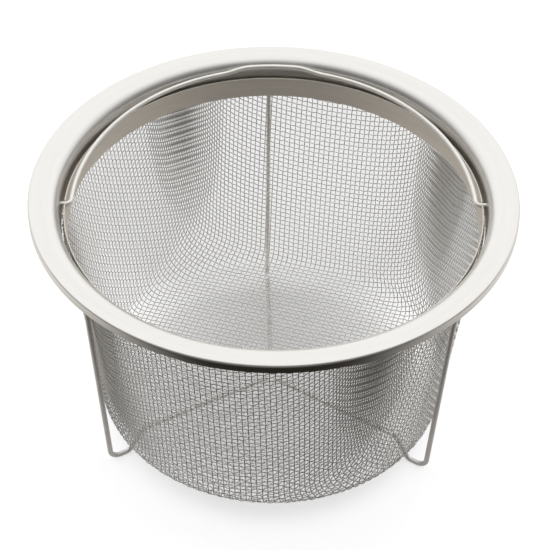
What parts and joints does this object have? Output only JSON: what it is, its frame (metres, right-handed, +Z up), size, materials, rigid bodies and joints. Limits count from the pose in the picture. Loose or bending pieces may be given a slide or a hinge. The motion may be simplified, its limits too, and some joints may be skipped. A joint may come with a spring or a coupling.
{
  "type": "wire mesh basket strainer",
  "caption": "Round drawn wire-mesh strainer basket with a flat rim flange, an inner clamp band, wire legs and a folding wire bail handle.",
  "frame": {"origin": "on the cup's axis, on the surface that the three feet stand on", "axes": "+Z up along the cup's axis, +Y towards the side where the folded bail lies, +X along the bail's pivots"},
  "size_m": [0.216, 0.216, 0.1335],
  "materials": {
    "satin_rim": "satin pressed stainless sheet",
    "band_steel": "plain rolled stainless strip",
    "wire_cloth": "plain-woven bright stainless wire",
    "leg_wire": "drawn stainless wire, slightly dull",
    "bail_wire": "bright drawn stainless wire"
  },
  "bodies": {
    "basket": {"rim_flange": "satin_rim", "clamp_band": "band_steel", "mesh_basket": "wire_cloth", "back_leg": "leg_wire", "left_leg": "leg_wire", "right_leg": "leg_wire"},
    "bail": {"bail_handle": "bail_wire"}
  },
  "joints": [
    {"name": "bail_fold", "type": "hinge", "parent": "basket", "child": "bail", "pos_m": [0, 0, 0.1241], "axis": [1, 0, 0], "range_deg": [0, 172]}
  ]
}
